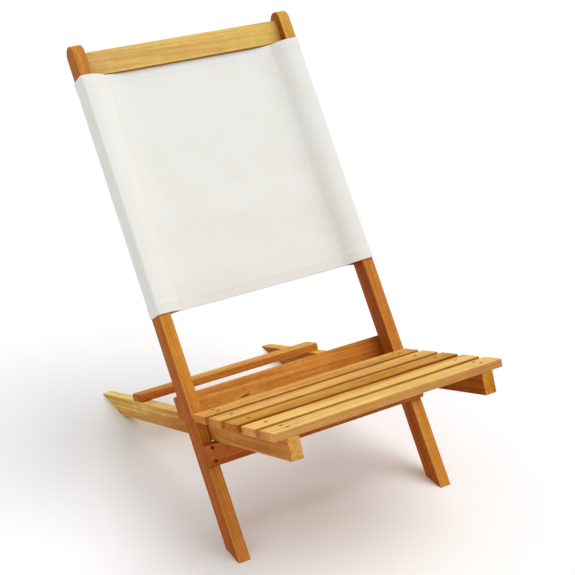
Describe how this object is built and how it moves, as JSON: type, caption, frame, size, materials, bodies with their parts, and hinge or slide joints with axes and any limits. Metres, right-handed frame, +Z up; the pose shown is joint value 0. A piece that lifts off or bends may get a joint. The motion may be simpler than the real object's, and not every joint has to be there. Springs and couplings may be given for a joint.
{
  "type": "folding camp chair",
  "caption": "Low two-part wooden camp chair: a slatted seat frame slides through a leaning back frame with rounded uprights and a canvas sling.",
  "frame": {"origin": "on the ground, under the middle of the chair's bounding box", "axes": "+Z up, the chair faces -Y, +X across the chair"},
  "size_m": [0.4266, 0.7181, 0.7071],
  "materials": {
    "orange_wood": "oiled orange-brown hardwood",
    "golden_wood": "oiled golden hardwood",
    "dowel_wood": "plain unfinished hardwood",
    "canvas": "off-white cotton canvas, plain weave",
    "screw_steel": "weathered countersunk screws"
  },
  "bodies": {
    "back_frame": {"left_stile": "orange_wood", "right_stile": "orange_wood", "top_rail": "golden_wood", "top_rail_dowels": "dowel_wood", "front_crosspiece": "orange_wood", "front_crosspiece_screws": "screw_steel", "rear_board": "orange_wood", "rear_board_screws": "screw_steel", "back_sling": "canvas"},
    "seat_frame": {"left_rail": "golden_wood", "right_rail": "golden_wood", "slat_1": "golden_wood", "slat_2": "golden_wood", "slat_3": "golden_wood", "slat_4": "golden_wood", "slat_5": "golden_wood", "slat_1_screws": "screw_steel", "slat_2_screws": "screw_steel", "slat_3_screws": "screw_steel", "slat_4_screws": "screw_steel", "slat_5_screws": "screw_steel", "rear_crossbar": "orange_wood", "rear_crossbar_screws": "screw_steel"}
  },
  "joints": [
    {"name": "seat_slide", "type": "slide", "parent": "back_frame", "child": "seat_frame", "axis": [0, -0.9212, 0.3891], "range_m": [0, 0.2175]}
  ]
}
